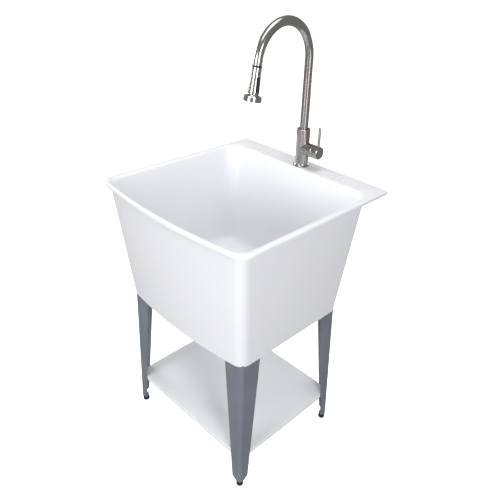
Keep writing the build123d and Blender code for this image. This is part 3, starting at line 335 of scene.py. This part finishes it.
facingIn = headTop.make("GeometryNodeInputNamedAttribute", {"data_type": "FLOAT_VECTOR"}, {"Name": "facing"})
facingTurn = headTop.make("FunctionNodeAlignRotationToVector", {"axis": "Z"}, {"Vector": facingIn})
endTree(slotted.make("GeometryNodeInstanceOnPoints", None, {
    "Points": screwIn["Geometry"], "Instance": slotted, "Rotation": facingTurn}), screwIn["Finish"])

# the legs' outer corners at the floor, and how far they lean in for each metre up
stand = {"cornerSide": 0.2635, "cornerFront": -0.2428, "cornerBack": 0.1842, "splay": 0.032}


def faceSeeds(height, place, sink, turned):  # points on both faces of every leg, with the way a head looks
    seeds = []
    for side in (-1, 1):
        for end, reach in ((-1, -stand["cornerFront"]), (1, stand["cornerBack"])):
            corner = Vector((side * (stand["cornerSide"] - stand["splay"] * height),
                             end * (reach - stand["splay"] * height), height))
            for shift, out in (((0, -end * place, 0), (side, 0, stand["splay"])),
                               ((-side * place, 0, 0), (0, end, stand["splay"]))):
                way = Vector(out).normalized()
                seeds.append((corner + Vector(shift) - way * sink, way * turned))
    return seeds


shelfScrew = {"Head Radius": 0.0034, "Head Depth": 0.0022, "Shank Radius": 0.0019, "Shank Length": 0.0078,
              "Cross Width": 0.0042, "Finish": finishes["zinc"]}
shelfRow = {"height": 0.131, "place": 0.0355, "sink": 0.0, "turned": 1}
shelfHeads = growPiece("shelfScrewSet", screwTree, shelfScrew, "stand", faceSeeds(**shelfRow))
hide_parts("shelf_screws")
legScrew = {"Head Radius": 0.0044, "Head Depth": 0.0026, "Shank Radius": 0.0024, "Shank Length": 0.0098,
            "Cross Width": 0.0052, "Finish": finishes["zinc"]}
legRow = {"height": 0.503, "place": 0.046, "sink": 0.00625, "turned": -1}
legHeads = growPiece("legScrewSet", screwTree, legScrew, "stand", faceSeeds(**legRow))
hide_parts("leg_screws")
print("screws made")

# the feet's bolts: a core with a helical thread, and the round head that sits in the pad
rodTree, rodIn = newTree("threadedRod", (
    ("Radius", numberIn), ("Groove", numberIn), ("Pitch", numberIn), ("Low", numberIn), ("High", numberIn),
    ("Head Radius", numberIn), ("Head Low", numberIn), ("Finish", finishIn)))
core = rodIn["Radius"] - rodIn["Groove"]
length = rodIn["High"] - rodIn["Low"]
helix = core.make("GeometryNodeCurveSpiral", None, {
    "Resolution": flats["turn"], "Rotations": (length - rodIn["Pitch"]) / rodIn["Pitch"],
    "Start Radius": core, "End Radius": core, "Height": length - rodIn["Pitch"]})
upright = helix.make("GeometryNodeSetCurveNormal", {"mode": "Z_UP"}, {"Curve": helix})
tooth = core.make("GeometryNodeCurvePrimitiveCircle", {"mode": "RADIUS"}, {
    "Resolution": flats["tooth"], "Radius": rodIn["Groove"]})
thread = upright.make("GeometryNodeCurveToMesh", None, {
    "Curve": upright, "Profile Curve": tooth, "Fill Caps": True})
raised = moved(thread, core.pack(0, 0, rodIn["Low"] + rodIn["Pitch"] * 0.5))
coreRod = rod(rodTree, core, rodIn["Head Low"], rodIn["High"])
headRod = rod(rodTree, rodIn["Head Radius"], rodIn["Head Low"], rodIn["Low"], flats["stemHead"])
endTree(joinAll([raised, coreRod, headRod]), rodIn["Finish"])

stemRod = {"Radius": 0.004, "Groove": 0.0005, "Pitch": 0.00125, "Low": 0.014, "High": 0.0458,
           "Head Radius": 0.00645, "Head Low": 0.00304, "Finish": finishes["zinc"]}
footPlace = {"front_left": (-0.250796, -0.230096), "front_right": (0.250796, -0.230096),
             "back_left": (-0.250796, 0.171496), "back_right": (0.250796, 0.171496)}
for corner, (x, y) in footPlace.items():
    words = corner.split("_")
    piece = growPiece("stem" + words[0].capitalize() + words[1].capitalize(), rodTree, stemRod,
                      "stem_" + corner, turn=Matrix.Translation((x, y, 0)))
    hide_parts("leveler_stem_" + corner)
print("threaded stems made")

# the spray head's own frame: what is made along Z is turned to point along way from start
headFrame = {"start": (0, 0.0445273, 1.16847), "way": (0, -0.173648, -0.984808)}
way = Vector(headFrame["way"])
headTurn = Matrix.Translation(Vector(headFrame["start"])) @ Matrix(
    ((1, 0, 0), (0, way.z, -way.y), (0, way.y, way.z))).transposed().to_4x4()

# the ring of rubber nozzles
sprayNub = {"Count": 12, "Circle": 0.01555, "Radius": 0.0021, "Hole": 0.0009, "Low": 0.083, "Height": 0.0008,
            "Finish": finishes["blackRubber"]}
nubTaper = 0.8
nubTree, nubIn = newTree("sprayNubs", (
    ("Count", wholeIn), ("Circle", numberIn), ("Radius", numberIn), ("Hole", numberIn), ("Low", numberIn),
    ("Height", numberIn), ("Finish", finishIn)))
ringPoints = nubIn["Circle"].make("GeometryNodeMeshCircle", None, {
    "Vertices": nubIn["Count"], "Radius": nubIn["Circle"]})
nubCone = nubIn["Radius"].make("GeometryNodeMeshCone", None, {
    "Vertices": flats["nub"], "Radius Bottom": nubIn["Radius"], "Radius Top": nubIn["Radius"] * nubTaper,
    "Depth": nubIn["Height"]})
jetHole = rod(nubTree, nubIn["Hole"], 0 - nubIn["Height"], nubIn["Height"] * 2, flats["jet"])
nub = nubCone.make("GeometryNodeMeshBoolean", {"operation": "DIFFERENCE"}, {
    "Mesh 1": nubCone, "Mesh 2": jetHole})
nubRing = nub.make("GeometryNodeInstanceOnPoints", None, {"Points": ringPoints, "Instance": nub})
endTree(moved(nubRing, nub.pack(0, 0, nubIn["Low"])), nubIn["Finish"])
growPiece("sprayNubs", nubTree, sprayNub, "spray_head", turn=headTurn)

# the wire net over the aerator: a grid cut to a disc, its edges made round
aeratorNet = {"Radius": 0.0087, "Lines": 19, "Wire": 0.00014, "Low": 0.0822, "Finish": finishes["stainless"]}
meshTree, meshIn = newTree("aeratorMesh", (
    ("Radius", numberIn), ("Lines", wholeIn), ("Wire", numberIn), ("Low", numberIn), ("Finish", finishIn)))
weave = meshIn["Radius"].make("GeometryNodeMeshGrid", None, {
    "Size X": meshIn["Radius"] * 2, "Size Y": meshIn["Radius"] * 2, "Vertices X": meshIn["Lines"],
    "Vertices Y": meshIn["Lines"]})
spot = weave.make("GeometryNodeInputPosition")
reach = spot.make("ShaderNodeVectorMath", {"operation": "LENGTH"}, {0: spot}, "Value")
outside = reach.make("FunctionNodeCompare", {"operation": "GREATER_THAN"}, {0: reach, 1: meshIn["Radius"]})
inside = weave.make("GeometryNodeDeleteGeometry", {"domain": "POINT"}, {
    "Geometry": weave, "Selection": outside})
strands = inside.make("GeometryNodeMeshToCurve", None, {"Mesh": inside})
wire = strands.make("GeometryNodeCurvePrimitiveCircle", {"mode": "RADIUS"}, {
    "Resolution": flats["wire"], "Radius": meshIn["Wire"]})
netting = strands.make("GeometryNodeCurveToMesh", None, {
    "Curve": strands, "Profile Curve": wire, "Fill Caps": True})
endTree(moved(netting, netting.pack(0, 0, meshIn["Low"])), meshIn["Finish"])
growPiece("aeratorMesh", meshTree, aeratorNet, "spray_head", turn=headTurn)
print("spray face made")

# smooth skins: a welded copy of a node's own surface, shaded smooth up to a sharp edge
skinShape = {"weld": 1e-6, "sharp": math.radians(32)}
bodyOf = {node: body for body, parts in frame["record"]["behaviour"]["bodies"].items() for node in parts}


def skinOf(name, pieceName):
    mesh = nodes[name].data.copy()
    work = bmesh.new()
    work.from_mesh(mesh)
    bmesh.ops.remove_doubles(work, verts=work.verts, dist=skinShape["weld"])
    for edge in work.edges:
        edge.smooth = not (len(edge.link_faces) == 2 and edge.calc_face_angle(0) > skinShape["sharp"])
    for face in work.faces:
        face.smooth = True
    work.to_mesh(mesh)
    work.free()
    piece = bpy.data.objects.new(pieceName, mesh)
    scene.collection.objects.link(piece)
    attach(piece, bodyOf[name])
    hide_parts(name)


skinned = [name for name in nodes
           if name not in ("leg_screws", "shelf_screws") and not name.startswith("leveler_stem")]
for name in skinned:
    parts = name.split("_")
    skinOf(name, parts[0] + "".join(part.capitalize() for part in parts[1:]) + "Skin")
print("skins made", len(skinned))

# floor, light and camera
studio = {"floor": 60.0, "floorLow": -0.0005, "dome": 58.0, "domeAround": 48, "domeUp": 24, "domeCut": -0.001,
          "pale": (0.9, 0.9, 0.9, 1), "rough": 0.9, "glow": 1.0, "world": 0.29}
paleFinish = newFinish("studioPale", lambda place: {}, Base_Color=studio["pale"], Roughness=studio["rough"],
                       Emission_Color=(1, 1, 1, 1), Emission_Strength=studio["glow"])


def backdrop(name, shape):  # it throws no light back on the sink and isn't mirrored in it
    mesh = bpy.data.meshes.new(name)
    shape.to_mesh(mesh)
    shape.free()
    mesh.materials.append(paleFinish)
    screen = bpy.data.objects.new(name, mesh)
    scene.collection.objects.link(screen)
    screen.visible_diffuse = False
    screen.visible_glossy = False
    return screen


plane = bmesh.new()
bmesh.ops.create_grid(plane, x_segments=1, y_segments=1, size=studio["floor"],
                      matrix=Matrix.Translation((0, 0, studio["floorLow"])))
backdrop("studioFloor", plane)
dome = bmesh.new()
bmesh.ops.create_uvsphere(dome, u_segments=studio["domeAround"], v_segments=studio["domeUp"],
                          radius=studio["dome"])
bmesh.ops.delete(dome, geom=[spot for spot in dome.verts if spot.co.z < studio["domeCut"]], context="VERTS")
backdrop("studioDome", dome).visible_shadow = False  # the world's light comes through it

world = bpy.data.worlds.new("studioWorld")
world.use_nodes = True
world.node_tree.nodes["Background"].inputs["Color"].default_value = (1, 1, 1, 1)
world.node_tree.nodes["Background"].inputs["Strength"].default_value = studio["world"]
scene.world = world

# each panel's place, the height on the sink's middle line that it looks at, its size and its power
panels = {
    "frontPanel": ((0.0, -3.8, 1.7), 0.6, (1.5, 1.2), 46),
    "rightPanel": ((2.9, -1.2, 1.7), 0.6, (0.9, 1.7), 37),
    "leftPanel": ((-3.8, -0.3, 1.6), 0.6, (1.5, 1.2), 58),
    "highPanel": ((0.0, -1.3, 4.0), 0.6, (1.5, 1.5), 22),
    "backPanel": ((-0.4, 3.4, 0.8), 0.6, (1.5, 1.0), 16),
    "topPanel": ((0.2, 0.3, 4.2), 0.6, (2.0, 2.0), 46),
    "frontStrip": ((0.0, -2.0, 0.95), 0.9, (0.7, 1.9), 8),  # the strips give the upright bands on the tap
    "rightStrip": ((2.0, -0.79, 0.95), 0.9, (0.6, 1.9), 8),
}
for name, (place, height, size, power) in panels.items():
    light = bpy.data.lights.new(name, "AREA")
    light.shape = "RECTANGLE"
    light.size, light.size_y = size
    light.energy = power
    lamp = bpy.data.objects.new(name, light)
    lamp.location = place
    lamp.visible_camera = False
    lamp.rotation_euler = (Vector((0, 0, height)) - Vector(place)).to_track_quat("-Z", "Y").to_euler()
    scene.collection.objects.link(lamp)

photoView = {"place": (0.9959, -0.9487, 1.4550), "right": (0.7176, 0.6950, 0.0454),
             "up": (-0.4098, 0.3686, 0.8344), "lens": 38.0, "sensor": 36.0, "shift": (-0.0438, 0.0584)}
lensData = bpy.data.cameras.new("photoCamera")
lensData.lens = photoView["lens"]
lensData.sensor_width = photoView["sensor"]
lensData.shift_x, lensData.shift_y = photoView["shift"]
camera = bpy.data.objects.new("photoCamera", lensData)
right, up = Vector(photoView["right"]).normalized(), Vector(photoView["up"])
up = (up - right * up.dot(right)).normalized()
turn = Matrix((right, up, right.cross(up))).transposed()
camera.matrix_world = Matrix.Translation(Vector(photoView["place"])) @ turn.to_4x4()
scene.collection.objects.link(camera)
scene.camera = camera
print("studio ready")
